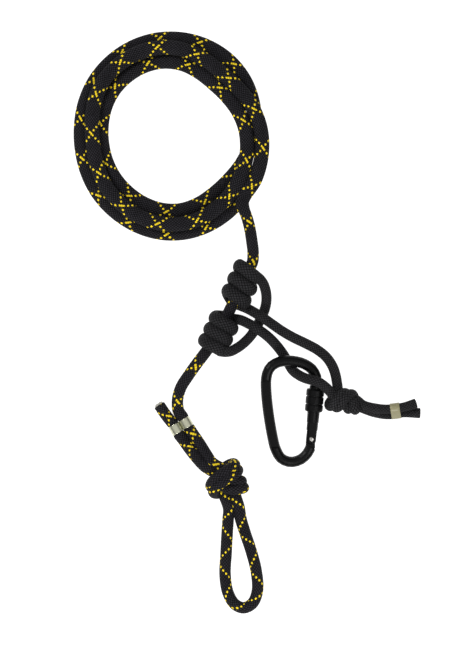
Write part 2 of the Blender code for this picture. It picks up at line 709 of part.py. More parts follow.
def build_band(pale):
    """A flat sleeve shrunk round both tails, its two ends cut aslant."""
    along = Vector((1.0, BAND_LEAN, 0.0)).normalized()
    up = tail_offset().normalized()
    across = up.cross(along)
    frame = Matrix((across, up, along)).transposed().to_4x4()
    middle = Vector(TAIL_IN_BAND) + along * TAIL_IN_BAND_LENGTH / 2 + tail_offset() / 2
    half = tail_offset().length / 2
    rings = []
    for radius in (CORD / 2 + BAND_CLEARANCE, CORD / 2 + BAND_CLEARANCE + BAND_WALL):
        outline = []
        for end in (1, -1):
            for k in range(11):
                angle = math.radians(18 * k + (0 if end == 1 else 180))
                outline.append((radius * math.cos(angle), end * half + radius * math.sin(angle)))
        rings.append(outline)
    shape = bmesh.new()
    bore, outer = (
        [
            [shape.verts.new((x * MM, y * MM, (end * BAND_LENGTH / 2 - BAND_SLANT * y) * MM)) for x, y in ring]
            for end in (-1, 1)
        ]
        for ring in rings
    )
    count = len(rings[0])
    for k in range(count):
        m = (k + 1) % count
        shape.faces.new((outer[0][k], outer[0][m], outer[1][m], outer[1][k]))
        shape.faces.new((bore[0][k], bore[1][k], bore[1][m], bore[0][m]))
        shape.faces.new((outer[1][k], outer[1][m], bore[1][m], bore[1][k]))
        shape.faces.new((outer[0][k], bore[0][k], bore[0][m], outer[0][m]))
    add_at("tail_band", finished(shape), Matrix.Translation(middle * MM) @ frame, pale)


# The body's centre line, right and up from the hinge rivet, from its hinge end round to its nose
BODY_LINE = (
    (-0.6, -8.4), (-3.4, -14.0), (-10.0, -20.4), (-20.2, -23.2), (-29.9, -19.6), (-35.7, -10.0),
    (-38.2, -1.1), (-43.2, 26.9), (-45.6, 50.0), (-45.6, 60.0), (-44.0, 67.4), (-40.2, 73.2),
    (-33.0, 77.2), (-23.2, 78.4), (-14.2, 77.4), (-6.2, 74.6), (0.4, 69.8), (4.1, 63.4),
)


def body_frame():
    """From the carabiner's own flat frame, with its origin on the hinge, to where it lies."""
    right = Vector((1.0, 0.0, SLOPE_RIGHT)).normalized()
    away = Vector((0.0, 1.0, SLOPE_AWAY))
    away = (away - away.dot(right) * right).normalized()
    turn = Matrix((right, away, right.cross(away))).transposed().to_4x4()
    return Matrix.Translation(Vector(HINGE_AT) * MM) @ turn


def gate_frame():
    """Z goes up the gate, X goes out of the carabiner and Y is across its flat side."""
    up = Vector((GATE_LEAN, (1 - GATE_LEAN ** 2) ** 0.5, 0.0))
    out = Vector((up.y, -up.x, 0.0))
    turn = Matrix((out, up.cross(out), up)).transposed().to_4x4()
    return body_frame() @ turn


def tang_outline():
    """Round the rivet the edge is a cam, which lifts the plunger as the gate opens."""
    outline = []
    up = (GATE_LEAN, (1 - GATE_LEAN ** 2) ** 0.5)
    for k in range(23):
        angle = math.radians(-100 + 10 * k)
        radius = TANG_RADIUS + TANG_CAM * min(max(angle, -0.45), 0.95)
        rise, inward = radius * math.cos(angle), min(radius * math.sin(angle), TANG_FLANK)
        outline.append((up[0] * rise - up[1] * inward, up[1] * rise + up[0] * inward))
    return [*outline, (-5.4, -6.5), (-5.2, -11.0), (-0.5, -12.5), (2.6, -11.0), (3.8, -8.6)]


def spine_flat_cutter(side):
    """What is pressed off one side of the spine, with a sloping end at each of its two ends."""
    low, high = SPINE_FLAT_ENDS
    far = BAR / 2 + 1
    outline = [
        (low - SPINE_FLAT_RUN_OUT, side * far), (low, side * SPINE_FLAT), (high, side * SPINE_FLAT),
        (high + SPINE_FLAT_RUN_OUT, side * far),
    ]
    cutter = plate_mesh(outline if side < 0 else outline[::-1], -56.0, -30.0)
    cutter.transform(Matrix(((0, 0, 1, 0), (1, 0, 0, 0), (0, 1, 0, 0), (0, 0, 0, 1))))
    return cutter


def build_body(finish):
    frame, gate = body_frame(), gate_frame()
    to_gate = frame.inverted() @ gate
    up = to_gate.to_3x3() @ Vector((0.0, 0.0, 1.0))
    line = [(Vector((x, y, 0.0)), BAR) for x, y in BODY_LINE]
    line.append((up * (NOSE_END + 4.0), BAR))
    line.append((up * NOSE_END, BAR))
    fine = smooth_route(line, 0.4)
    STRANDS["bar"] = [(frame @ (p * MM) / MM, w) for p, w in fine]
    body = tube_mesh(stretch(fine, None, None, 4.4), sides=16, on_floor=False)
    tang = plate_mesh(tang_outline(), -TANG_THICKNESS / 2, TANG_THICKNESS / 2)
    tongue = box_mesh(
        (-TONGUE_HALF_WIDTH, -TONGUE_THICKNESS / 2, TONGUE_END),
        (TONGUE_HALF_WIDTH, TONGUE_THICKNESS / 2, NOSE_END + 2.0),
    )
    notch = box_mesh(
        (-8.0, -4.0, LATCH_PIN_AT - LATCH_NOTCH / 2), (LATCH_NOTCH / 2, 4.0, LATCH_PIN_AT + LATCH_NOTCH / 2),
    )
    for cutter in (tongue, notch):
        cutter.transform(to_gate)
    hole = rod_mesh((0, 0, 0), (0, 0, 1), RIVET, 20.0)
    body = combined(body, [
        ("UNION", tang), ("UNION", tongue), ("DIFFERENCE", notch), ("DIFFERENCE", hole),
        ("DIFFERENCE", spine_flat_cutter(1)), ("DIFFERENCE", spine_flat_cutter(-1)),
    ])
    add_at("carabiner_body", body, frame, finish)


def build_gate(finish, pin_finish):
    frame = gate_frame()
    gate = turned_bar_mesh([
        (3.8, -GATE_FOOT), (4.9, -3.9), (GATE_RADIUS, -1.4), (GATE_RADIUS + 0.2, GATE_STEP),
        (GATE_RADIUS + 0.5, GATE_STEP + 0.3), (GATE_RADIUS_IN_SLEEVE, SLEEVE_FOOT - 1),
        (GATE_RADIUS_IN_SLEEVE, THREAD_FOOT - 0.5), (THREAD_RADIUS, THREAD_FOOT),
        (THREAD_RADIUS, THREAD_TOP), (GATE_RADIUS_IN_SLEEVE, THREAD_TOP + 0.5),
        (GATE_RADIUS_IN_SLEEVE, 52.6), (5.3, 55.0), (4.3, GATE_TOP),
    ])
    fork = box_mesh((-9.0, -FORK_SLOT / 2, -9.0), (9.0, FORK_SLOT / 2, FORK_SLOT_TOP))
    bore = rod_mesh((0, 0, (FORK_SLOT_TOP - 1 + GATE_BORE_TOP) / 2), (0, 0, 1), GATE_BORE,
                    GATE_BORE_TOP - FORK_SLOT_TOP + 1)
    slot = box_mesh((-9.0, -TONGUE_SLOT / 2, TONGUE_SLOT_FLOOR), (9.0, TONGUE_SLOT / 2, 60.0))
    rivet_hole = rod_mesh((0, 0, 0), (0, 1, 0), RIVET + 2 * RUNNING_FIT, 20.0)
    pin_hole = rod_mesh((0, 0, LATCH_PIN_AT), (0, 1, 0), LATCH_PIN + 2 * RUNNING_FIT, 20.0, sides=12)
    flats = [
        box_mesh((-9.0, min(side * GATE_FLAT, side * 9.0), -9.0), (9.0, max(side * GATE_FLAT, side * 9.0), GATE_STEP))
        for side in (1, -1)
    ]
    cuts = [("DIFFERENCE", cutter) for cutter in (fork, bore, slot, rivet_hole, pin_hole, *flats)]
    add_at("gate", combined(gate, cuts), frame, finish)
    add_at("latch_pin", rod_mesh((0, 0, LATCH_PIN_AT), (0, 1, 0), LATCH_PIN, 10.6, sides=12), frame, pin_finish)
    radius, end = RIVET / 2 - RUNNING_FIT, GATE_FLAT + RIVET_HEAD
    head = [(radius, end - 0.5), (radius - 0.5, end - 0.1), (radius - 1.1, end), (radius - 1.5, end - 0.35)]
    rivet = turned_bar_mesh([(r, -h) for r, h in head[::-1]] + head, sides=24)
    rivet.transform(Matrix.Rotation(-math.pi / 2, 4, "X"))
    add_at("hinge_rivet", rivet, frame, pin_finish)


def build_spring(finish):
    frame = gate_frame()
    foot = PLUNGER_FOOT
    plunger = turned_bar_mesh([
        (PLUNGER / 2 - 0.5, foot), (PLUNGER / 2, foot + 0.5), (PLUNGER / 2, foot + PLUNGER_LENGTH),
    ], sides=20)
    add_at("gate_plunger", plunger, frame, finish)
    low = foot + PLUNGER_LENGTH + SPRING_WIRE / 2 + GAP
    high = GATE_BORE_TOP - SPRING_WIRE / 2 - GAP
    count = SPRING_CURLS * SPRING_POINTS_PER_CURL
    line = []
    for k in range(count + 1):
        angle = 2 * math.pi * k / SPRING_POINTS_PER_CURL
        place = Vector((
            SPRING_RADIUS * math.cos(angle), SPRING_RADIUS * math.sin(angle), between(low, high, k / count),
        ))
        line.append((place, SPRING_WIRE))
    add_at("gate_spring", tube_mesh(line, sides=6, on_floor=False), frame, finish)


def build_sleeve(finish, ring_finish):
    frame = gate_frame()
    bore, outer = SLEEVE_BORE / 2, SLEEVE_RADIUS
    inner = outer - SLEEVE_GROOVE
    top = SLEEVE_FOOT + SLEEVE_LENGTH
    step = (SLEEVE_LENGTH - SLEEVE_BAND) / 2
    rounding = [(SLEEVE_ROUNDING, 0.0), (0.5 * SLEEVE_ROUNDING, 0.15 * SLEEVE_ROUNDING), (0.0, SLEEVE_ROUNDING)]
    profile = [(bore, SLEEVE_FOOT), *[(outer - r, SLEEVE_FOOT + h) for r, h in rounding]]
    for k in range(2):
        end, start = SLEEVE_FOOT + SLEEVE_BAND + k * step, SLEEVE_FOOT + (k + 1) * step
        profile += [
            (outer, end - 0.6), (outer - 0.3, end - 0.1), (inner, end), (inner, start), (outer - 0.3, start + 0.1),
            (outer, start + 0.6),
        ]
    profile += [*[(outer - r, top - h) for r, h in rounding[::-1]], (bore, top)]
    add_at("lock_sleeve", turned_mesh(profile, sides=36), frame, finish)
    foot = THREAD_FOOT + RING_CLEARANCE
    ring = [
        (RING_RADII[0], foot), (RING_RADII[1], foot), (RING_RADII[1], foot + RING_LENGTH),
        (RING_RADII[0], foot + RING_LENGTH),
    ]
    add_at("sleeve_ring", turned_mesh(ring, sides=36), frame, ring_finish)


def print_least_gaps():
    """The least gap of each wound cord to itself, on points of its centre line."""
    for name, wide in (("coil", COIL_WIDTH / COIL_HEIGHT), ("rope", 1.0), ("loop", 1.0)):
        route = STRANDS[name]
        along = [0.0]
        for (p, _), (q, _) in zip(route, route[1:]):
            along.append(along[-1] + (q - p).length)
        picks = range(0, len(route), max(1, len(route) // 900))
        least = 1e9
        for i in picks:
            for j in picks:
                (p, wp), (q, wq) = route[i], route[j]
                if along[j] - along[i] < 2.5 * max(wp, wq):
                    continue
                apart = q - p
                apart.x /= wide
                apart.y /= wide
                least = min(least, apart.length - (wp + wq) / 2)
        print(f"{name}: {along[-1]:.0f} mm long, least gap to itself {least:.2f} mm")


def centre_on_floor():
    """Moves everything so that the origin lies on the floor under the middle of the box."""
    things = [thing for thing in bpy.context.scene.objects if thing.type == "MESH"]
    corners = [vertex.co for thing in things for vertex in thing.data.vertices]
    low = Vector([min(corner[axis] for corner in corners) for axis in range(3)])
    high = Vector([max(corner[axis] for corner in corners) for axis in range(3)])
    move = -Vector(((low.x + high.x) / 2, (low.y + high.y) / 2, low.z))
    for thing in things:
        thing.data.transform(Matrix.Translation(move))
    print(f"moved by {move.x / MM:.3f}, {move.y / MM:.3f}, {move.z / MM:.3f} mm")


def main():
    clear_scene()
    black = material("rope_black", (0.02, 0.02, 0.022), 0.8)
    cream = material("rope_core", (0.7, 0.66, 0.55), 0.9)
    silver = material("crimp_metal", (0.6, 0.58, 0.52), 0.3, 1.0)
    cord_black = material("cord_black", (0.015, 0.015, 0.016), 0.85)
    pale = material("band_pale", (0.55, 0.54, 0.42), 0.6)
    build_main_rope(black, cream, silver)
    build_prusik_loop(cord_black, pale)
    coated = material("carabiner_black", (0.03, 0.03, 0.033), 0.38)
    sleeve = material("sleeve_black", (0.026, 0.026, 0.028), 0.45)
    pins = material("pin_steel", (0.62, 0.61, 0.58), 0.3, 1.0)
    build_body(coated)
    build_gate(coated, pins)
    build_spring(pins)
    build_sleeve(sleeve, pins)
    centre_on_floor()
    print_least_gaps()


main()
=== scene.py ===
"""Looks for the tree stand safety rope: the two cords as real sheaths, and materials for the metal.

The routes are in millimetres. They follow the solids' routes, but are drawn up tight at the knots and
differ a little beside them. They are turned into metres where a mesh is made. X is right, Y is away
and Z is up from the floor.
"""
import math

import bmesh
import bpy
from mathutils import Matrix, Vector


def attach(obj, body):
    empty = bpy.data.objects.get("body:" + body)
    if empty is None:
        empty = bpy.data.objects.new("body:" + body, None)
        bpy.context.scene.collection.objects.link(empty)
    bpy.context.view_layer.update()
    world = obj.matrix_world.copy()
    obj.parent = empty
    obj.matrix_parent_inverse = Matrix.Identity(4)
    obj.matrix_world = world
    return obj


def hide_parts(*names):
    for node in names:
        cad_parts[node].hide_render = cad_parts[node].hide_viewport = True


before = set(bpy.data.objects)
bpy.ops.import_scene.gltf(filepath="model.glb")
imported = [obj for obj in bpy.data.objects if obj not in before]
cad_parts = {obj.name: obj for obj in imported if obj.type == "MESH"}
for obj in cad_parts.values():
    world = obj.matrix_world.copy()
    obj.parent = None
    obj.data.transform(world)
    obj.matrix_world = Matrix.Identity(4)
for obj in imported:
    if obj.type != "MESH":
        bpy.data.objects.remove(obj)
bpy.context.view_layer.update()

MM = 0.001
UP = Vector((0.0, 0.0, 1.0))
# The solids' routes were listed before the whole part was centred on its box.
CENTRING = Vector((-0.231, 0.828, 0.0))

# Main rope: its declared diameter, then the widths that its sheath is drawn with
ROPE = 11.7
ROPE_DOUBLED = 12.1
ROPE_IN_CRIMP = 10.8
ROPE_IN_KNOT = 11.6

# Coil: the flattened rope's size, and the radius of each turn at eight marks, back from the exit
COIL_WIDTH = 14.7
COIL_HEIGHT = 9.4
COIL_LAYER = 9.9
FLOOR_CUT = 0.1
COIL_CENTRE = (-76.5, 186.5)
COIL_EXIT_DEG = -42.0
COIL_MARKS = 8
TOP_TURN = (96.0, 90.2, 81.0, 88.9, 87.5, 78.5, 83.5, 88.5)
INNER_TURN = (82.5, 75.0, 67.5, 74.7, 73.7, 69.5, 71.0, 75.0)
OUTER_TURN = (72.0, 83.0, 94.3, 97.3, 94.5, 90.0, 93.5, 97.5)
COIL_END_RADII = (94.0, 91.0)
COIL_TURNS = 3.06
POINTS_PER_TURN = 24
CLIMB_FROM, CLIMB_TO = 1.12, 1.36

# Prusik loop: its declared diameter, then the widths that its sheath is drawn with
CORD = 10.3
TAIL = 10.3
CORD_IN_KNOT = 10.4
CORD_LEAVING_KNOT = 9.4

# Wraps round the straight stretch of the rope
WRAP_WIDTH = 13.4
WRAP_HEIGHT = 10.6
WRAP_POINTS_PER_TURN = 24
WRAP_RADIUS = 11.2
WRAP_LEAN = (4.6, -1.6)
HITCH_AXIS_Z = 14.0
STRAIGHT_START = (5.0, 60.5)
STRAIGHT_DIRECTION = (-0.428, -0.9038)
STRAIGHT_LENGTH = 84.0

# Crimps, and how far outside one the rope is full again
CRIMP_LENGTH = 9.6
CRIMP_OUTER = 12.0
CRIMP_MOUTH = 0.3
CRIMP_SIDES = 48
SWELL_BEFORE = 1.7
SWELL_AFTER = 1.5

# Braid: carriers each way round the cord, the length of one carrier's turn, the carrier that is yellow,
# and how far into it the yellow starts
ROPE_CARRIERS = 12
ROPE_LAY = 40.0
CORD_CARRIERS = 10
CORD_LAY = 30.0
TRACER_CARRIER = 3.0
TRACER_EDGE = 0.42

# Braid relief: the roundness of a carrier across and along itself and of its yarns, the yarns' rise,
# and how fast the painted shade falls between carriers. The roundness also shapes the painted highlight on
# the crowns.
CROWN_ACROSS = 0.5
CROWN_ALONG = 0.35
CROWN_YARN = 0.6
YARN_RISE = 0.22
SHADE_POWER = 2.2

# Sheath meshes: millimetres between rings, corners in a ring, and the small cap on each end
FINE_STEP = 0.5
ROPE_STEP = 1.6
ROPE_SIDES = 20
CORD_STEP = 1.5
CORD_SIDES = 18
CAP_SHARE = 0.72
CAP_BULGE = 0.5

# From where a heading counts as upright, or as along the straight rope
STEEP = 0.9
NEARLY_ALONG = 0.95

# The picture's frame at 1 mm a pixel, and its column that lies at X = 0 in the routes
PICTURE_WIDTH = 465.0
PICTURE_HEIGHT = 645.0
ORIGIN_COLUMN = 247.5
CAMERA_HEIGHT = 1.5


def between(low, high, share):
    return low + (high - low) * share


def eased(value, start, end):
    share = min(max((value - start) / (end - start), 0.0), 1.0)
    return share * share * (3 - 2 * share)


def smooth_route(points, step):
    """A smooth curve through the points, which are (place, width, height), with a point every step."""
    places = [Vector(p[0]) for p in points]
    sizes = [p[1:] for p in points]
    places = [2 * places[0] - places[1], *places, 2 * places[-1] - places[-2]]
    fine = []
    for i in range(1, len(places) - 2):
        a, b, c, d = places[i - 1:i + 3]
        t1 = (b - a).length ** 0.5
        t2 = t1 + (c - b).length ** 0.5
        t3 = t2 + (d - c).length ** 0.5
        pieces = max(2, round((c - b).length / FINE_STEP))
        for k in range(pieces):
            share = k / pieces
            t = between(t1, t2, share)
            a1 = a.lerp(b, t / t1)
            a2 = b.lerp(c, (t - t1) / (t2 - t1))
            a3 = c.lerp(d, (t - t2) / (t3 - t2))
            b1 = a1.lerp(a2, t / t2)
            b2 = a2.lerp(a3, (t - t1) / (t3 - t1))
            size = [between(x, y, share) for x, y in zip(sizes[i - 1], sizes[i])]
            fine.append((b1.lerp(b2, (t - t1) / (t2 - t1)), *size))
    fine.append((places[-2], *sizes[-1]))
    return even_route(fine, step)


def even_route(fine, step):
    """The same curve with its points evenly apart, as near to the step as whole steps allow."""
    along = [0.0]
    for p, q in zip(fine, fine[1:]):
        along.append(along[-1] + (q[0] - p[0]).length)
    count = max(2, round(along[-1] / step))
    route = []
    j = 0
    for k in range(count + 1):
        target = along[-1] * k / count
        while j < len(fine) - 2 and along[j + 1] < target:
            j += 1
        share = (target - along[j]) / (along[j + 1] - along[j])
        p, q = fine[j], fine[j + 1]
        size = [between(x, y, share) for x, y in zip(p[1:], q[1:])]
        route.append((p[0].lerp(q[0], share), *size))
    return route


def hermite(values, share):
    """A smooth value between the second and the third of four."""
    a, b, c, d = values
    in_slope, out_slope = (c - a) / 2, (d - b) / 2
    s2, s3 = share * share, share ** 3
    return (
        (2 * s3 - 3 * s2 + 1) * b + (s3 - 2 * s2 + share) * in_slope
        + (3 * s2 - 2 * s3) * c + (s3 - s2) * out_slope
    )


def coil_route():
    """The coil's turns, from the hidden end to where the rope leaves: floor layer first, then the top one."""
    radii = [*TOP_TURN, *INNER_TURN, *OUTER_TURN, *COIL_END_RADII]
    count = round(COIL_TURNS * POINTS_PER_TURN)
    route = []
    for k in range(count, -1, -1):
        back = COIL_TURNS * k / count
        mark = back * COIL_MARKS
        i = min(int(mark), len(radii) - 2)
        wave = [radii[max(i - 1, 0)], radii[i], radii[i + 1], radii[min(i + 2, len(radii) - 1)]]
        radius = hermite(wave, mark - i)
        angle = math.radians(COIL_EXIT_DEG + 360.0 * back)
        low = COIL_HEIGHT / 2 - FLOOR_CUT * COIL_HEIGHT
        height = low + COIL_LAYER * (1 - eased(back, CLIMB_FROM, CLIMB_TO))
        place = Vector((
            COIL_CENTRE[0] + radius * math.cos(angle),
            COIL_CENTRE[1] + radius * math.sin(angle),
            height,
        ))
        route.append((place, COIL_WIDTH, COIL_HEIGHT))
    return route


def on_straight(down):
    """A place on the straight stretch, that many millimetres down it."""
    return Vector((
        STRAIGHT_START[0] + STRAIGHT_DIRECTION[0] * down,
        STRAIGHT_START[1] + STRAIGHT_DIRECTION[1] * down,
        HITCH_AXIS_Z,
    ))


def round_the_rope(down, degrees):
    """A place on the middle of a wrap."""
    right = Vector((-STRAIGHT_DIRECTION[1], STRAIGHT_DIRECTION[0], 0.0))
    angle = math.radians(degrees)
    return on_straight(down) + WRAP_RADIUS * (math.cos(angle) * right + math.sin(angle) * UP)


def wraps(down_start, down_end, start_deg, end_deg, lean):
    """Turns round the rope. The lean is how far down it their right side lies from their middle."""
    count = round(abs(end_deg - start_deg) / 360.0 * WRAP_POINTS_PER_TURN)
    turns = []
    for k in range(count + 1):
        degrees = between(start_deg, end_deg, k / count)
        down = between(down_start, down_end, k / count) + lean * math.cos(math.radians(degrees))
        turns.append((round_the_rope(down, degrees), WRAP_WIDTH, WRAP_HEIGHT))
    return turns


class Knot:
    """A two-strand overhand knot. Its strands are listed in its own frame: along, across and up.

    It is drawn up tight, so its strands press into one another. The solids keep clear instead.
    """

    def __init__(self, centre, along, scale, slant=0.0):
        self.centre = Vector(centre)
        self.slant = slant
        self.along = Vector((*along, 0.0)).normalized()
        self.across = UP.cross(self.along)
        self.scale = scale

    def place(self, point):
        along, across, up = (scale * value for scale, value in zip(self.scale, point))
        along += self.slant * across
        return self.centre + along * self.along + across * self.across + up * UP

    def strand(self, points, diameter):
        return [(self.place(point), diameter, diameter) for point in points]


FIRST_STRAND = (
    (-10.0, 4.9, 5.0), (1.0, 5.4, 5.4), (8.0, 9.5, 6.0), (12.0, 15.3, 2.0), (12.0, 14.0, -8.5),
    (10.5, 7.5, -14.6), (8.5, -1.0, -16.4), (6.0, -9.5, -13.4), (3.0, -15.3, -6.0),
    (0.0, -16.2, 3.0), (-4.0, -12.8, 11.4), (-8.0, -4.5, 15.9), (-10.0, 4.5, 15.9),
    (-12.0, 12.4, 11.2), (-14.5, 16.2, 2.0), (-17.0, 14.5, -6.0), (-17.0, 8.0, -10.0),
    (-13.5, 1.0, -8.5), (-8.0, -3.8, -6.3), (0.0, -4.9, -4.9), (10.0, -5.0, -4.6),
    (18.0, -7.0, -4.0),
)
SECOND_STRAND = (
    (-10.0, -4.9, 5.0), (3.0, -4.9, 5.0), (12.0, -2.5, 5.6), (19.0, 4.5, 6.5), (22.4, 13.0, 3.5),
    (22.6, 15.0, -5.0), (21.2, 9.5, -13.0), (19.0, 0.5, -16.4), (16.5, -8.0, -14.3),
    (13.5, -14.8, -7.0), (10.4, -16.2, 2.0), (6.3, -12.8, 10.8), (2.2, -4.8, 15.8),
    (0.2, 4.2, 16.0), (-2.0, 12.8, 11.6), (-4.4, 16.4, 3.0), (-6.0, 16.2, -5.0),
    (-4.5, 11.5, -10.2), (1.5, 6.5, -7.5), (9.0, 4.9, -5.0), (18.0, 4.2, -4.6),
)
EYE_LEADS = Knot((-20.5, -156.5, 20.8), (0.62, -0.785), (1.0, 1.0, 1.0))
LOOP_LEADS = Knot((97.6, -79.2, 13.9), (0.949, -0.316), (0.66, 0.66, 0.66))
EYE_KNOT = Knot((-22.8, -157.0, 18.9), (0.4, -0.917), (0.66, 0.93, 0.8))
LOOP_KNOT = Knot((94.8, -77.9, 13.3), (0.985, -0.17), (0.66, -0.47, 0.5), 0.12)
CRIMP_AXIS = Vector((0.5, -0.866, 0.0)).normalized()
RUN_CRIMP = Vector((-61.45, -100.4, CRIMP_OUTER / 2))
TAIL_CRIMP = Vector((-71.6, -106.4, CRIMP_OUTER / 2))


def through_crimp(centre):
    """The rope through a crimp: squeezed inside it, and full again just outside."""
    squeezed = CRIMP_LENGTH / 2 - CRIMP_MOUTH
    return [
        (centre - (squeezed + SWELL_BEFORE) * CRIMP_AXIS, ROPE_DOUBLED, ROPE),
        (centre - squeezed * CRIMP_AXIS, ROPE_IN_CRIMP, ROPE_IN_CRIMP),
        (centre, ROPE_IN_CRIMP, ROPE_IN_CRIMP),
        (centre + squeezed * CRIMP_AXIS, ROPE_IN_CRIMP, ROPE_IN_CRIMP),
        (centre + (squeezed + SWELL_AFTER) * CRIMP_AXIS, ROPE_DOUBLED, ROPE),
    ]


def placed(points, diameter):
    return [(Vector(point), diameter, diameter) for point in points]


def at(knot, point, diameter):
    return (knot.place(point), diameter, diameter)


def main_rope_route():
    lead = placed([
        (-3.6, 113.5, 14.2), (-0.6, 105.0, 14.0), (2.2, 94.5, 13.8), (4.4, 81.0, 13.8), (5.6, 70.5, 14.0),
    ], ROPE)
    straight = [(on_straight(down), ROPE, ROPE) for down in (0, 6, 60, STRAIGHT_LENGTH)]
    run = placed([
        (-36.4, -22.2, 14.0), (-42.0, -29.8, 13.9), (-51.1, -41.8, 13.4), (-59.3, -53.4, 12.4),
        (-65.9, -63.6, 10.4), (-69.1, -72.4, 8.2), (-70.1, -80.7, 6.6),
    ], ROPE) + placed([(-69.0, -88.4, 5.8)], ROPE_DOUBLED)
    into_knot = [
        at(EYE_LEADS, (-58.0, 1.2, -12.6), ROPE_DOUBLED),
        at(EYE_LEADS, (-46.0, 0.4, -8.6), ROPE_DOUBLED),
        *placed([(-41.3, -132.0, 17.2), (-35.6, -140.2, 21.2)], ROPE_DOUBLED),
    ]
    eye = [
        *placed([(-18.6, -186.0, 12.6)], ROPE_DOUBLED),
        *placed([
            (-19.4, -197.0, 9.8), (-20.4, -212.0, 6.6), (-21.4, -231.0, 5.0), (-22.4, -252.0, 4.5),
            (-19.6, -270.0, 4.5), (-13.0, -281.4, 4.5), (-4.0, -285.3, 4.5), (5.0, -280.8, 4.5),
            (10.0, -268.0, 4.5), (8.6, -248.0, 4.5), (3.8, -229.0, 4.8), (-2.2, -211.0, 6.4),
        ], ROPE),
        *placed([(-6.8, -196.0, 9.6), (-8.6, -185.0, 13.4)], ROPE_DOUBLED),
    ]
    out_of_knot = [
        *placed([(-42.4, -144.0, 21.2), (-50.8, -135.2, 17.2)], ROPE_DOUBLED),
        at(EYE_LEADS, (-46.0, -10.6, -8.6), ROPE_DOUBLED),
        at(EYE_LEADS, (-58.0, -10.0, -12.8), ROPE_DOUBLED),
    ]
    tail = placed([(-80.9, -93.5, 5.2), (-88.2, -82.8, 5.0)], ROPE)
    return [
        *coil_route(), *lead, *straight, *run, *through_crimp(RUN_CRIMP), *into_knot,
        *EYE_KNOT.strand(FIRST_STRAND, ROPE_IN_KNOT), *eye,
        *EYE_KNOT.strand(SECOND_STRAND, ROPE_IN_KNOT)[::-1], *out_of_knot,
        *through_crimp(TAIL_CRIMP)[::-1], *tail,
    ]


UPPER_DOWN = (44.2, 8.6)
UPPER_DEGREES = (270.0, -680.0)
LOWER_DOWN = (94.5, 61.6)
LOWER_DEGREES = (30.0, 990.0)
UPPER_LEG = (
    (-8.0, 17.2, 4.9), (-1.6, 14.6, 6.8), (6.6, 10.2, 12.0), (15.4, 4.8, 15.4), (24.6, -1.6, 14.2),
    (34.4, -8.4, 10.4), (45.4, -14.8, 6.8), (57.4, -20.6, 5.0), (69.4, -27.0, 4.7), (78.6, -34.4, 5.2),
    (84.9, -43.6, 6.8), (87.8, -51.6, 9.2), (89.4, -59.8, 11.8),
)
LOWER_LEG = (
    (-14.6, 3.8, 4.6), (-7.4, 2.6, 6.8), (0.4, -0.8, 11.4), (8.4, -5.4, 15.3), (16.6, -11.0, 14.2),
    (23.8, -17.2, 10.2), (30.6, -24.8, 5.6), (36.6, -33.2, 4.6), (41.0, -41.0, 4.9), (45.4, -48.0, 8.6),
    (51.0, -52.4, 14.2), (57.4, -55.6, 19.8), (64.4, -57.6, 23.4), (71.0, -59.6, 24.0), (76.4, -63.2, 23.0),
)
UPPER_TO_KNOT = ((90.2, -67.2, 14.4),)
LOWER_TO_KNOT = ((81.4, -67.8, 21.4), (85.4, -73.2, 19.0))
BRIDGE = (
    (14.2, 41.4, 17.2), (18.0, 32.6, 12.4), (19.0, 23.4, 7.6), (17.6, 14.4, 4.9), (14.0, 5.4, 4.7),
    (9.4, -3.6, 4.7), (4.6, -11.6, 5.8), (-2.0, -19.0, 8.8), (-10.0, -25.2, 13.0), (-18.8, -29.2, 17.4),
)
BAND_LEAN = 0.122
TAIL_IN_BAND = (140.4, -92.2, 5.2)
TAIL_IN_BAND_LENGTH = 16.0
TAIL_SPACING = (5.6, 7.4)
CORD_IN_BAND = 9.3
FIRST_TAIL_END = (172.4, -90.6, 4.7)
SECOND_TAIL_END = (168.4, -81.0, 11.2)


def band_axes():
    """The way that the tails run through the band, and the step from the first tail to the second."""
    along = Vector((1.0, BAND_LEAN, 0.0)).normalized()
    across = Vector((-BAND_LEAN, 1.0, 0.0)).normalized()
    return along, TAIL_SPACING[0] * across + TAIL_SPACING[1] * UP


def loop_route():
    ahead, aside = band_axes()
    along = ahead * TAIL_IN_BAND_LENGTH
    low = Vector(TAIL_IN_BAND)
    into_knot = placed(UPPER_TO_KNOT, CORD)
    out_of_knot = placed(LOWER_TO_KNOT, CORD)
    first = LOOP_KNOT.strand(SECOND_STRAND, CORD_IN_KNOT)
    second = LOOP_KNOT.strand(FIRST_STRAND, CORD_IN_KNOT)
    first_tail = [
        *placed([(114.8, -85.4, 9.6), (126.6, -89.6, 6.6)], TAIL),
        *placed([low, low + along], CORD_IN_BAND),
        *placed([FIRST_TAIL_END], TAIL),
    ]
    second_tail = [
        at(LOOP_LEADS, (28.0, 4.0, -3.0), CORD_LEAVING_KNOT),
        *placed([(127.6, -85.9, 12.6)], TAIL),
        *placed([low + aside, low + along + aside], CORD_IN_BAND),
        *placed([SECOND_TAIL_END], TAIL),
    ]
    return [
        *first_tail[::-1], *first[::-1], *into_knot, *placed(UPPER_LEG[::-1], CORD),
        *wraps(*UPPER_DOWN, *UPPER_DEGREES, WRAP_LEAN[0]), *placed(BRIDGE, CORD),
        *wraps(*LOWER_DOWN, *LOWER_DEGREES, WRAP_LEAN[1]),
        *placed(LOWER_LEG, CORD), *out_of_knot, *second, *second_tail,
    ]


def node_math(tree, operation, one, two=None, three=None, clamp=False):
    """One sum in a material. Each value is a number or a socket."""
    made = tree.nodes.new("ShaderNodeMath")
    made.operation = operation
    made.use_clamp = clamp
    for socket, value in zip(made.inputs, (one, two, three)):
        if value is None:
            continue
        if isinstance(value, (int, float)):
            socket.default_value = value
        else:
            tree.links.new(value, socket)
    return made.outputs[0]


def new_material(name):
    made = bpy.data.materials.new(name)
    made.use_nodes = True
    tree = made.node_tree
    return made, tree, tree.nodes["Principled BSDF"]


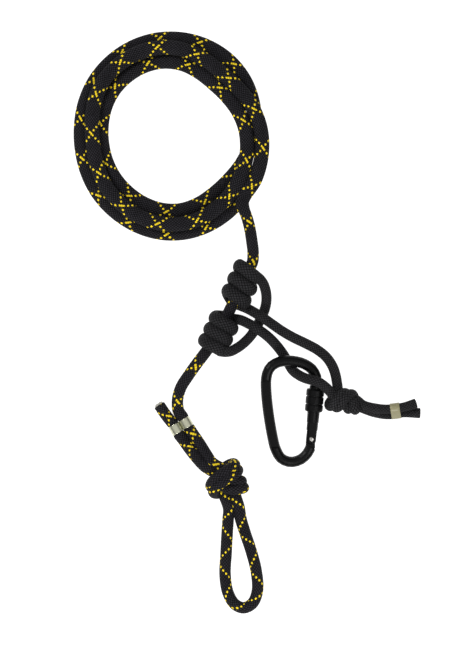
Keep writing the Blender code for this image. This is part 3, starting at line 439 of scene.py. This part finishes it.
def mixed(tree, share, low, high):
    """One colour or another by a share. Each is a colour or a socket."""
    made = tree.nodes.new("ShaderNodeMix")
    made.data_type = "RGBA"
    for socket, value in ((made.inputs[0], share), (made.inputs[6], low), (made.inputs[7], high)):
        if isinstance(value, tuple):
            socket.default_value = (*value, 1.0)
        elif isinstance(value, (int, float)):
            socket.default_value = value
        else:
            tree.links.new(value, socket)
    return made.outputs[2]


def place_noise(tree, scale, detail):
    """Noise over the place in the scene."""
    geometry = tree.nodes.new("ShaderNodeNewGeometry")
    noise = tree.nodes.new("ShaderNodeTexNoise")
    noise.inputs["Scale"].default_value = scale
    noise.inputs["Detail"].default_value = detail
    tree.links.new(geometry.outputs["Position"], noise.inputs["Vector"])
    return noise.outputs[0]


def add_bump(tree, shader, height, strength, distance):
    bump = tree.nodes.new("ShaderNodeBump")
    bump.inputs["Strength"].default_value = strength
    bump.inputs["Distance"].default_value = distance
    tree.links.new(height, bump.inputs["Height"])
    tree.links.new(bump.outputs[0], shader.inputs["Normal"])


def braid_material(name, carriers, lay, yarns, dark, light, tracer=None):
    """A plain braid: carriers cross over and under one another, each a flat band of a few yarns.

    The coordinates are those that the sheath carries: turns round the cord and millimetres along it.
    """
    made, tree, shader = new_material(name)
    place = tree.nodes.new("ShaderNodeAttribute")
    place.attribute_name = "sheath"
    parts = tree.nodes.new("ShaderNodeSeparateXYZ")
    tree.links.new(place.outputs["Vector"], parts.inputs[0])
    turn = node_math(tree, "MULTIPLY", parts.outputs[0], float(carriers))
    down = node_math(tree, "MULTIPLY", parts.outputs[1], carriers / lay)
    left = node_math(tree, "ADD", turn, down)
    right = node_math(tree, "SUBTRACT", turn, down)
    left_cell = node_math(tree, "FLOOR", left)
    right_cell = node_math(tree, "FLOOR", right)
    left_in = node_math(tree, "SUBTRACT", left, left_cell)
    right_in = node_math(tree, "SUBTRACT", right, right_cell)
    both = node_math(tree, "ADD", left_cell, right_cell)
    half = node_math(tree, "MULTIPLY", both, 0.5)
    left_under = node_math(tree, "MULTIPLY", node_math(tree, "FRACT", half), 2.0)
    left_under = node_math(tree, "ROUND", left_under)
    left_over = node_math(tree, "SUBTRACT", 1.0, left_under)

    def crown(value, power):
        """1 in the middle of a carrier and 0 at its edges."""
        bent = node_math(tree, "SINE", node_math(tree, "MULTIPLY", value, math.pi))
        return node_math(tree, "POWER", node_math(tree, "MAXIMUM", bent, 0.0), power)

    def chosen(over, under):
        one = node_math(tree, "MULTIPLY", over, left_over)
        return node_math(tree, "MULTIPLY_ADD", under, left_under, one)

    across = chosen(crown(left_in, CROWN_ACROSS), crown(right_in, CROWN_ACROSS))
    along = chosen(crown(right_in, CROWN_ALONG), crown(left_in, CROWN_ALONG))
    body = node_math(tree, "MULTIPLY", across, along)
    lines = chosen(
        node_math(tree, "FRACT", node_math(tree, "MULTIPLY", left_in, float(yarns))),
        node_math(tree, "FRACT", node_math(tree, "MULTIPLY", right_in, float(yarns))),
    )
    yarn = crown(lines, CROWN_YARN)
    height = node_math(tree, "MULTIPLY_ADD", yarn, YARN_RISE, body)
    # Painted highlight: a yarn is lighter the nearer it lies to its carrier's crown, and painted shade falls
    # between the carriers
    crown_highlight = node_math(tree, "MULTIPLY", node_math(tree, "POWER", body, SHADE_POWER), yarn)

    fuzz = node_math(tree, "MULTIPLY_ADD", place_noise(tree, 900.0, 2.0), 1.1, 0.45)
    wear = node_math(tree, "MULTIPLY_ADD", place_noise(tree, 60.0, 3.0), 0.8, 0.6)
    shade = node_math(tree, "MULTIPLY", crown_highlight, fuzz)
    shade = node_math(tree, "MULTIPLY", shade, wear, clamp=True)
    # The dark colour is painted shade between the carriers and the light one a painted highlight on their
    # crowns; the noises add fibre fuzz and random wear
    colour = mixed(tree, shade, dark, light)
    if tracer is not None:
        def one_of(cell):
            """1 in the one carrier that is yellow, and 0 in the others."""
            wrapped = node_math(tree, "FLOORED_MODULO", cell, float(carriers))
            away = node_math(tree, "ABSOLUTE", node_math(tree, "SUBTRACT", wrapped, TRACER_CARRIER))
            return node_math(tree, "LESS_THAN", away, 0.5)

        left_yellow = one_of(left_cell)
        right_yellow = one_of(right_cell)
        yellow = chosen(left_yellow, right_yellow)
        inside = node_math(tree, "GREATER_THAN", body, TRACER_EDGE)
        yellow = node_math(tree, "MULTIPLY", yellow, inside)
        crossing = node_math(tree, "MULTIPLY", left_yellow, right_yellow)
        yellow = node_math(tree, "MAXIMUM", yellow, crossing)
        # The tracer's yellow is painted shaded at the carriers' edges and given a painted highlight on their
        # crowns
        lit = node_math(tree, "MULTIPLY", yarn, body, clamp=True)
        lit_tracer = mixed(tree, lit, tracer[0], tracer[1])
        colour = mixed(tree, yellow, colour, lit_tracer)
    tree.links.new(colour, shader.inputs["Base Color"])
    shader.inputs["Roughness"].default_value = 0.7
    shader.inputs["Specular IOR Level"].default_value = 0.07
    shader.inputs["Sheen Weight"].default_value = 0.01
    shader.inputs["Sheen Roughness"].default_value = 0.4
    add_bump(tree, shader, height, 0.9, 0.0006)
    return made


def turned_frames(route):
    """The heading at each place, and a sideways direction that turns as little as it can."""
    headings = []
    for i in range(len(route)):
        before, after = route[max(i - 1, 0)][0], route[min(i + 1, len(route) - 1)][0]
        headings.append((after - before).normalized())
    side = headings[0].cross(UP).normalized()
    frames = []
    for i, heading in enumerate(headings):
        if i:
            side = headings[i - 1].rotation_difference(heading) @ side
        side = (side - side.dot(heading) * heading).normalized()
        frames.append((heading, side, side.cross(heading)))
    return frames


def closed_piece(name, shape):
    """The closed shape as an object of the scene, with its faces looking outwards."""
    bmesh.ops.recalc_face_normals(shape, faces=shape.faces)
    return linked(name, shape)


def linked(name, shape):
    mesh = bpy.data.meshes.new(name)
    shape.to_mesh(mesh)
    shape.free()
    made = bpy.data.objects.new(name, mesh)
    bpy.context.scene.collection.objects.link(made)
    return made


def join_rings(shape, rings):
    for here, there in zip(rings, rings[1:]):
        count = len(here)
        for k in range(count):
            m = (k + 1) % count
            shape.faces.new((here[k], here[m], there[m], there[k])).smooth = True


def sheath(name, route, sides, wide_axis_at):
    """A cord's sheath with its braid's own coordinates. Where it would pass the floor it is flat."""
    frames = turned_frames(route)
    shape = bmesh.new()
    turns = shape.loops.layers.float_vector.new("sheath")
    rings = []
    along = [0.0]
    for p, q in zip(route, route[1:]):
        along.append(along[-1] + (q[0] - p[0]).length)
    for index, (place, width, height) in enumerate(route):
        heading, side, up = frames[index]
        wide = wide_axis_at(heading)
        wide = (wide - wide.dot(heading) * heading).normalized()
        tall = wide.cross(heading)
        ring = []
        for k in range(sides):
            angle = 2 * math.pi * k / sides
            out = math.cos(angle) * side + math.sin(angle) * up
            reach = 1 / math.hypot(out.dot(wide) / (width / 2), out.dot(tall) / (height / 2))
            corner = place + CENTRING + reach * out
            corner.z = max(corner.z, 0.0)
            ring.append(shape.verts.new(corner * MM))
        rings.append(ring)

    for i, (here, there) in enumerate(zip(rings, rings[1:])):
        for k in range(sides):
            m = (k + 1) % sides
            face = shape.faces.new((here[k], here[m], there[m], there[k]))
            face.smooth = True
            marks = ((k, i), (k + 1, i), (k + 1, i + 1), (k, i + 1))
            for loop, (column, row) in zip(face.loops, marks):
                loop[turns] = (column / sides, along[row], 0.0)
    for ring, index, bulge in ((rings[0], 0, -CAP_BULGE), (rings[-1][::-1], -1, CAP_BULGE)):
        heading = frames[index][0]
        centre = route[index][0] + CENTRING
        inner = []
        for vertex in ring:
            place = centre + ((vertex.co / MM) - centre) * CAP_SHARE + heading * bulge
            place.z = max(place.z, 0.0)
            inner.append(shape.verts.new(place * MM))
        for k in range(sides):
            m = (k + 1) % sides
            face = shape.faces.new((ring[m], ring[k], inner[k], inner[m]))
            face.smooth = True
            for loop in face.loops:
                loop[turns] = (k / sides, along[index], 0.0)
        shape.faces.new(inner)
    return closed_piece(name, shape)


def level_or_x(heading):
    """The rope's wide axis: level, or along X where the rope stands nearly upright."""
    if abs(heading.z) < STEEP:
        return heading.cross(UP)
    return Vector((1.0, 0.0, 0.0))


def along_straight(heading):
    """The cord's wide axis: along the straight rope, or level where the cord itself runs that way."""
    straight = Vector((*STRAIGHT_DIRECTION, 0.0))
    if abs(heading.dot(straight)) < NEARLY_ALONG:
        return straight
    return heading.cross(UP)


def build_main_rope():
    rope = smooth_route(main_rope_route(), ROPE_STEP)
    main_rope = sheath("main_rope_sheath", rope, ROPE_SIDES, level_or_x)
    main_rope.data.materials.append(braid_material(
        # Dark: painted shade between carriers. Light: painted highlight on their crowns
        "rope braid", ROPE_CARRIERS, ROPE_LAY, 3, (0.0003, 0.0003, 0.0004), (0.034, 0.032, 0.038),
        # Tracer: its painted shaded yellow, then its painted lit yellow
        tracer=((0.6, 0.42, 0.012), (0.92, 0.7, 0.03)),
    ))
    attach(main_rope, "main_rope")
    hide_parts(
        "rope_coil", "rope_run", "eye_knot_run_strand", "rope_eye", "eye_knot_tail_strand",
        "rope_tail",
    )
    rope_end = build_rope_end()


def build_friction_cord():
    loop = smooth_route(loop_route(), CORD_STEP)
    friction_cord = sheath("friction_cord_sheath", loop, CORD_SIDES, along_straight)
    friction_cord.data.materials.append(braid_material(
        # Dark: painted shade between carriers. Light: painted highlight on their crowns
        "cord braid", CORD_CARRIERS, CORD_LAY, 2, (0.0003, 0.0003, 0.0004), (0.041, 0.04, 0.043),
    ))
    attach(friction_cord, "prusik_loop")
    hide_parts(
        "hitch_wraps_upper", "hitch_bridge", "hitch_wraps_lower", "loop_leg_upper",
        "loop_leg_lower", "loop_knot_strand_upper", "loop_knot_strand_lower", "loop_tail_upper",
        "loop_tail_lower",
    )
    build_band()


def metal_material(name, colour, roughness, metallic, grain=0.25, scale=220.0, shine=0.5):
    """A finish with fine speckle in its gloss and slight wear."""
    made, tree, shader = new_material(name)
    noise = place_noise(tree, scale, 4.0)
    rough = node_math(tree, "MULTIPLY_ADD", noise, grain, roughness - grain / 2)
    tree.links.new(rough, shader.inputs["Roughness"])
    share = node_math(tree, "MULTIPLY_ADD", noise, 0.5, 0.1, clamp=True)
    dim = tuple(0.7 * c for c in colour)
    tree.links.new(mixed(tree, share, dim, colour), shader.inputs["Base Color"])
    shader.inputs["Metallic"].default_value = metallic
    shader.inputs["Specular IOR Level"].default_value = shine
    add_bump(tree, shader, noise, 0.15, 0.0001)
    return made


# Band: points in half a ring, the pinch between the tails, the slant of its ends and its lift off the floor
BAND_HALF_POINTS = 17
BAND_WAIST = 0.93
WAIST_SHARE = 0.6
BAND_SLANT = 0.03
BAND_LIFT = 0.02


def build_band():
    """A pale sleeve shrunk flat round both tails."""
    along, offset = band_axes()
    up = offset.normalized()
    across = up.cross(along)
    middle = Vector(TAIL_IN_BAND) + along * TAIL_IN_BAND_LENGTH / 2 + offset / 2 + CENTRING
    half = offset.length / 2
    shape = bmesh.new()
    rings = []
    tight = CORD_IN_BAND / 2
    steps = (
        (-4.7, tight + 0.1), (-4.7, tight + 0.5), (-4.5, tight + 0.62), (-2.0, tight + 0.55),
        (1.5, tight + 0.6), (4.5, tight + 0.62), (4.7, tight + 0.5), (4.7, tight + 0.1),
    )
    for ahead, radius in steps:
        ring = []
        for end in (1, -1):
            for k in range(BAND_HALF_POINTS):
                angle = math.radians(180.0 / (BAND_HALF_POINTS - 1) * k + (0 if end == 1 else 180))
                side = radius * math.cos(angle)
                rise = end * half + radius * math.sin(angle)
                waist = BAND_WAIST if abs(rise) < half * WAIST_SHARE else 1.0
                place = middle + (ahead - BAND_SLANT * rise) * along + side * waist * across + rise * up
                place.z = max(place.z, BAND_LIFT)
                ring.append(shape.verts.new(place * MM))
        rings.append(ring)
    join_rings(shape, [*rings, rings[0]])
    made = closed_piece("tail_band_sleeve", shape)
    made.data.materials.append(metal_material(
        "pale band", (0.27, 0.25, 0.135), 0.42, 0.0, grain=0.2, scale=260.0, shine=0.45,
    ))
    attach(made, "prusik_loop")
    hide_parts("tail_band")
    return made


def turned_piece(name, profile, centre, axis, sides):
    """A ring turned about an axis from (along, radius) corners, closed on itself."""
    ahead = axis.normalized()
    side = ahead.cross(UP).normalized()
    up = side.cross(ahead)
    shape = bmesh.new()
    rings = []
    for along, radius in profile:
        ring = []
        for k in range(sides):
            angle = 2 * math.pi * k / sides
            out = math.cos(angle) * side + math.sin(angle) * up
            ring.append(shape.verts.new((centre + CENTRING + along * ahead + radius * out) * MM))
        rings.append(ring)
    join_rings(shape, [*rings, rings[0]])
    return closed_piece(name, shape)


def build_crimps():
    """Plain pressed sleeves with rolled rims, tight on the rope."""
    metal = metal_material("crimp metal", (0.7, 0.7, 0.53), 0.25, 0.9, grain=0.06, scale=300.0)
    half, outer, inner, rim = CRIMP_LENGTH / 2, CRIMP_OUTER / 2, ROPE_IN_CRIMP / 2, 0.4
    profile = (
        (-half, outer - rim), (-half + 0.12, outer - 0.12), (-half + rim, outer), (-half + 0.9, outer),
        (half - 0.9, outer), (half - rim, outer), (half - 0.12, outer - 0.12), (half, outer - rim),
        (half, inner + 0.15), (half - CRIMP_MOUTH, inner),
        (-half + CRIMP_MOUTH, inner), (-half, inner + 0.15),
    )
    crimps = (("crimp_sleeve_run", "crimp_run", RUN_CRIMP), ("crimp_sleeve_tail", "crimp_tail", TAIL_CRIMP))
    for name, node, centre in crimps:
        made = turned_piece(name, profile, centre, CRIMP_AXIS, CRIMP_SIDES)
        made.data.materials.append(metal)
        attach(made, "main_rope")
        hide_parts(node)


def fibre_material():
    made, tree, shader = new_material("cut fibres")
    noise = place_noise(tree, 1400.0, 3.0)
    colour = mixed(tree, noise, (0.2, 0.19, 0.16), (0.56, 0.55, 0.49))
    tree.links.new(colour, shader.inputs["Base Color"])
    shader.inputs["Roughness"].default_value = 0.85
    add_bump(tree, shader, noise, 0.8, 0.0004)
    return made


# Cut core: corners in a ring, and its lift off the floor
CORE_SIDES = 40
CORE_LIFT = 0.05


def build_rope_end():
    """The cut core: a low ragged dome of fibres that stands out of the sheath's end."""
    route = main_rope_route()
    end, before = route[-1][0], route[-2][0]
    ahead = (end - before).normalized()
    side = ahead.cross(UP).normalized()
    up = side.cross(ahead)
    shape = bmesh.new()
    rings = []
    for along, radius in ((-1.6, 4.5), (0.4, 4.7), (1.3, 4.3), (1.9, 3.2), (2.2, 1.6)):
        ring = []
        for k in range(CORE_SIDES):
            angle = 2 * math.pi * k / CORE_SIDES
            ragged = 0.28 * math.sin(7 * angle + 1.3) + 0.18 * math.sin(13 * angle + along)
            out = math.cos(angle) * side + math.sin(angle) * up
            place = end + CENTRING + (along + (ragged if along > 0 else 0.0)) * ahead + radius * out
            place.z = max(place.z, CORE_LIFT)
            ring.append(shape.verts.new(place * MM))
        rings.append(ring)
    join_rings(shape, rings)
    shape.faces.new(rings[-1])
    shape.faces.new(rings[0][::-1])
    made = closed_piece("rope_core_fibres", shape)
    made.data.materials.append(fibre_material())
    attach(made, "main_rope")
    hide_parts("rope_core_end")
    return made


def dress(node, finish):
    """Gives a solid of the frame its finish."""
    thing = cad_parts[node]
    for place in thing.material_slots:
        place.link = "OBJECT"
        place.material = finish


def dress_nodes():
    black = metal_material("black anodised", (0.003, 0.003, 0.0033), 0.27, 0.0, grain=0.08, shine=0.12)
    sleeve = metal_material("black sleeve", (0.003, 0.003, 0.0033), 0.36, 0.0, grain=0.12, shine=0.1)
    dark = metal_material("dark pin", (0.03, 0.03, 0.03), 0.4, 0.0, shine=0.25)
    steel = metal_material("pin steel", (0.62, 0.6, 0.57), 0.28, 1.0)
    finishes = (
        ("carabiner_body", black), ("gate", black), ("lock_sleeve", sleeve), ("sleeve_ring", steel),
        ("hinge_rivet", steel), ("latch_pin", dark), ("gate_spring", steel), ("gate_plunger", steel),
    )
    for node, finish in finishes:
        dress(node, finish)


def build_camera(scene):
    """Straight down, with a pixel to the millimetre."""
    camera = bpy.data.cameras.new("camera")
    camera.type = "ORTHO"
    camera.ortho_scale = PICTURE_HEIGHT * MM
    camera.sensor_fit = "AUTO"
    camera.clip_end = 10.0
    eye = bpy.data.objects.new("camera", camera)
    across = PICTURE_WIDTH / 2 - ORIGIN_COLUMN + CENTRING.x
    eye.location = (across * MM, CENTRING.y * MM, CAMERA_HEIGHT)
    scene.collection.objects.link(eye)
    scene.camera = eye


def build_floor():
    """A floor that glows white, so that no shadow shows on it."""
    shape = bmesh.new()
    bmesh.ops.create_grid(shape, x_segments=1, y_segments=1, size=4.0)
    floor = linked("floor", shape)
    pale, _, shader = new_material("floor")
    shader.inputs["Base Color"].default_value = (0.3, 0.3, 0.3, 1.0)
    shader.inputs["Roughness"].default_value = 0.9
    shader.inputs["Emission Color"].default_value = (1.0, 1.0, 1.0, 1.0)
    shader.inputs["Emission Strength"].default_value = 1.0
    floor.data.materials.append(pale)


# Sky: between these two heights of the view's direction, its strength goes from the third value to the fourth
SKY_RAMP = (0.25, 0.95, 0.16, 0.74)


def build_sky(scene):
    world = bpy.data.worlds.new("studio")
    world.use_nodes = True
    tree = world.node_tree
    where = tree.nodes.new("ShaderNodeTexCoord")
    parts = tree.nodes.new("ShaderNodeSeparateXYZ")
    tree.links.new(where.outputs["Generated"], parts.inputs[0])
    overhead = tree.nodes.new("ShaderNodeMapRange")
    overhead.interpolation_type = "SMOOTHSTEP"
    for socket, value in zip(overhead.inputs[1:5], SKY_RAMP):
        socket.default_value = value
    tree.links.new(parts.outputs[2], overhead.inputs[0])
    background = tree.nodes["Background"]
    background.inputs[0].default_value = (1.0, 1.0, 1.0, 1.0)
    tree.links.new(overhead.outputs[0], background.inputs[1])
    scene.world = world


# Soft boxes: name, place in metres, side in metres and watts
SOFT_BOXES = (
    ("soft box left", (-0.9, 0.7, 1.3), 0.4, 14.0),
    ("soft box right", (0.9, -0.5, 1.5), 0.5, 4.0),
    ("soft box front", (0.1, -1.3, 1.0), 0.4, 16.0),
)


def build_lights(scene):
    """Square soft boxes that face the middle of the part."""
    for name, place, size, power in SOFT_BOXES:
        light = bpy.data.lights.new(name, "AREA")
        light.shape = "SQUARE"
        light.size = size
        light.energy = power
        lamp = bpy.data.objects.new(name, light)
        lamp.location = place
        lamp.rotation_euler = (-Vector(place)).to_track_quat("-Z", "Y").to_euler()
        scene.collection.objects.link(lamp)


def build_stage():
    scene = bpy.context.scene
    build_camera(scene)
    build_floor()
    build_sky(scene)
    build_lights(scene)
    scene.view_settings.view_transform = "Standard"


build_stage()
build_main_rope()
build_friction_cord()
build_crimps()
dress_nodes()
